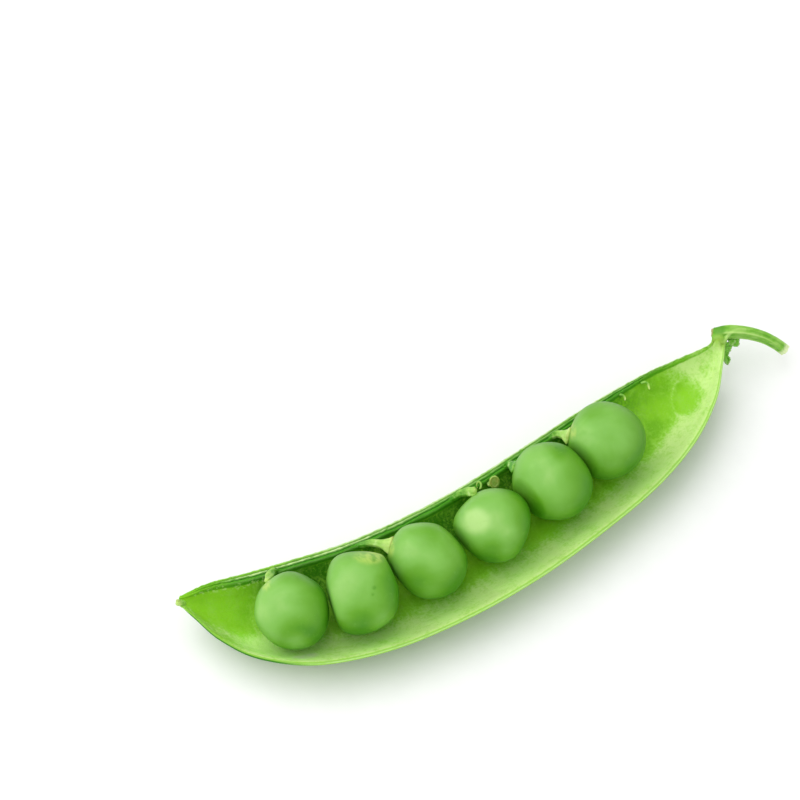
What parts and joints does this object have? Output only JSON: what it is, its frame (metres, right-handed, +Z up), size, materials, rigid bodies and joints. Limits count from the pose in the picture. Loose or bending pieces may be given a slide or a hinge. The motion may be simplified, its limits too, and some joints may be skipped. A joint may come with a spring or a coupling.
{
  "type": "pea pod",
  "caption": "Garden pea pod opened along both seams: one hollow half shell with beak, seed cord and seed stalks, peas lying in it, curved stalk and torn calyx.",
  "frame": {"origin": "a point on the flat spot that the pod rests on, within about a millimetre of the point under its weight", "axes": "+X from the blossom tip to the stalk, +Y to the seam that the peas hang from, +Z up, out of the open half"},
  "size_m": [0.0932, 0.0234, 0.0129],
  "materials": {
    "pod": "fresh pod wall: waxy and satin outside, moist and smooth inside",
    "pea": "smooth satin skin of a fresh pea",
    "seed": "small shrunken seed, satin",
    "stalk": "ribbed green stalk, satin",
    "calyx": "torn sepals, dull and slightly dry"
  },
  "bodies": {
    "root": {"pod_valve": "pod", "pea_1": "pea", "pea_2": "pea", "pea_3": "pea", "pea_4": "pea", "pea_5": "pea", "pea_6": "pea", "undeveloped_seed": "seed", "stalk": "stalk", "calyx": "calyx"}
  },
  "joints": []
}
